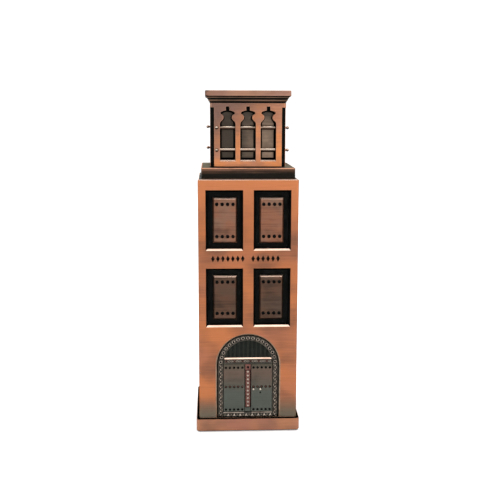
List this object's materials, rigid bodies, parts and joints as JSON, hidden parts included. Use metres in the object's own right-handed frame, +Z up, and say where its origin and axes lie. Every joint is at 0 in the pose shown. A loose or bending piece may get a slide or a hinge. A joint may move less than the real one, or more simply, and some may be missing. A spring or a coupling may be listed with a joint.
{
  "type": "miniature tower house model",
  "caption": "Cast-metal miniature of a square tower house with an arched studded door, shuttered windows and a latticed lantern head that lifts off.",
  "frame": {"origin": "centre of the base, on the surface it stands on", "axes": "+Z up along the tower, -Y out of the front with the door, +X to the right seen from the front"},
  "size_m": [0.0466, 0.0466, 0.1523],
  "materials": {
    "antique_copper": "cast zinc alloy, antique copper plating brushed level, satin, edges rubbed bright",
    "shutter_copper": "cast zinc alloy, dark antique copper plating, brushed level",
    "door_gunmetal": "cast zinc alloy, greenish grey gunmetal plating, copper rubbed through on the carving",
    "black_oxide": "black oxide, satin",
    "core_bronze": "dark bronze plating, brushed level in the middle of each opening, black round it",
    "bright_copper": "copper-plated brass, polished",
    "screw_steel": "zinc-plated steel",
    "felt": "dark pressed felt"
  },
  "bodies": {
    "tower": {"base_pad": "felt", "plinth": "antique_copper", "plinth_screw_1": "screw_steel", "plinth_screw_2": "screw_steel", "plinth_screw_3": "screw_steel", "plinth_screw_4": "screw_steel", "tower_shell": "antique_copper", "window_back_front": "black_oxide", "window_back_right": "black_oxide", "window_back_back": "black_oxide", "window_back_left": "black_oxide", "shutter_front_lower_left": "shutter_copper", "shutter_front_lower_right": "shutter_copper", "shutter_front_upper_left": "shutter_copper", "shutter_front_upper_right": "shutter_copper", "shutter_right_lower_left": "shutter_copper", "shutter_right_lower_right": "shutter_copper", "shutter_right_upper_left": "shutter_copper", "shutter_right_upper_right": "shutter_copper", "shutter_back_lower_left": "shutter_copper", "shutter_back_lower_right": "shutter_copper", "shutter_back_upper_left": "shutter_copper", "shutter_back_upper_right": "shutter_copper", "shutter_left_lower_left": "shutter_copper", "shutter_left_lower_right": "shutter_copper", "shutter_left_upper_left": "shutter_copper", "shutter_left_upper_right": "shutter_copper", "door_back": "black_oxide", "door_frame": "door_gunmetal", "tympanum": "door_gunmetal", "lintel": "door_gunmetal", "threshold": "door_gunmetal", "door_leaf_left": "door_gunmetal", "door_leaf_right": "door_gunmetal", "astragal": "door_gunmetal", "door_knob_inner": "bright_copper", "door_knob_outer": "bright_copper", "shoulder": "antique_copper", "spigot": "black_oxide", "spigot_screw": "screw_steel"},
    "head": {"lantern_core": "core_bronze", "lattice_front": "antique_copper", "lattice_right": "antique_copper", "lattice_back": "antique_copper", "lattice_left": "antique_copper", "rod_front_lower": "bright_copper", "rod_front_upper": "bright_copper", "rod_right_lower": "bright_copper", "rod_right_upper": "bright_copper", "rod_back_lower": "bright_copper", "rod_back_upper": "bright_copper", "rod_left_lower": "bright_copper", "rod_left_upper": "bright_copper", "cornice": "antique_copper", "roof_plate": "black_oxide", "roof_screw": "screw_steel"}
  },
  "joints": [
    {"name": "head_lift", "type": "slide", "parent": "tower", "child": "head", "axis": [0, 0, 1], "range_m": [0, 0.02]}
  ]
}
